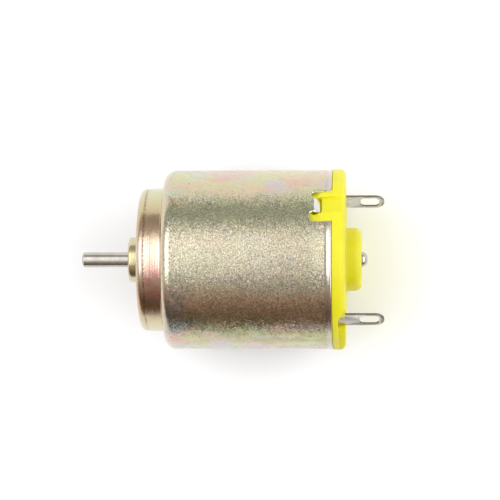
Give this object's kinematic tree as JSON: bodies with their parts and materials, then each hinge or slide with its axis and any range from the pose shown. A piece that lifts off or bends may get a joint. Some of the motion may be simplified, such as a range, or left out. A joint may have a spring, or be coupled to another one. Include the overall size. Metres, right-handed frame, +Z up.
{
  "type": "small brushed dc motor",
  "caption": "Round brushed DC motor with a drawn steel can, yellow moulded endbell, plain round output shaft and flat solder terminals.",
  "frame": {"origin": "on the shaft's axis, in the plane of the can's flat nose face, at the root of the front bearing boss", "axes": "+X along the shaft towards its output end, +Z up as the motor lies on its can, +Y across it"},
  "size_m": [0.0403, 0.024, 0.024],
  "materials": {
    "zinc_plate": "drawn steel with iridescent yellow-chromated zinc plating, satin",
    "yellow_nylon": "slightly translucent yellow moulded nylon",
    "bronze": "oil-filled sintered bronze",
    "ferrite": "dark grey pressed ferrite",
    "spring_steel": "blued spring steel",
    "tinned_lug": "tin-plated brass sheet",
    "leaf_bronze": "phosphor bronze spring sheet",
    "carbon": "pressed carbon",
    "shaft_steel": "ground steel",
    "lamination_steel": "stamped electrical steel",
    "insulator_plastic": "white moulded plastic",
    "enamel_copper": "enamelled copper wire",
    "moulding_resin": "dark moulding resin",
    "copper": "bare copper",
    "fibre": "fibre washer"
  },
  "bodies": {
    "stator": {"motor_can": "zinc_plate", "endbell": "yellow_nylon", "front_bearing": "bronze", "rear_bearing": "bronze", "magnet_a": "ferrite", "magnet_b": "ferrite", "magnet_clip_a": "spring_steel", "magnet_clip_b": "spring_steel", "terminal_a": "tinned_lug", "terminal_b": "tinned_lug"},
    "rotor": {"shaft": "shaft_steel", "rotor_laminations": "lamination_steel", "front_insulator": "insulator_plastic", "rear_insulator": "insulator_plastic", "coil_1": "enamel_copper", "coil_2": "enamel_copper", "coil_3": "enamel_copper", "commutator_hub": "moulding_resin", "commutator_segment_1": "copper", "commutator_segment_2": "copper", "commutator_segment_3": "copper", "commutator_ring": "moulding_resin", "front_spacer": "insulator_plastic", "front_washer": "fibre", "rear_washer": "fibre"},
    "brush_a": {"brush_arm_a": "leaf_bronze", "carbon_brush_a": "carbon"},
    "brush_b": {"brush_arm_b": "leaf_bronze", "carbon_brush_b": "carbon"}
  },
  "joints": [
    {"name": "rotor_spin", "type": "hinge", "parent": "stator", "child": "rotor", "pos_m": [0, 0, 0], "axis": [1, 0, 0], "continuous": true},
    {"name": "brush_a_lift", "type": "hinge", "parent": "stator", "child": "brush_a", "pos_m": [-0.02325, -0.00007, 0.00716], "axis": [1, 0, 0], "range_deg": [0, 5], "stiffness_Nm_per_rad": 0.002, "springref_deg": -20.05},
    {"name": "brush_b_lift", "type": "hinge", "parent": "stator", "child": "brush_b", "pos_m": [-0.02325, 0.00007, -0.00716], "axis": [1, 0, 0], "range_deg": [0, 5], "stiffness_Nm_per_rad": 0.002, "springref_deg": -20.05}
  ]
}
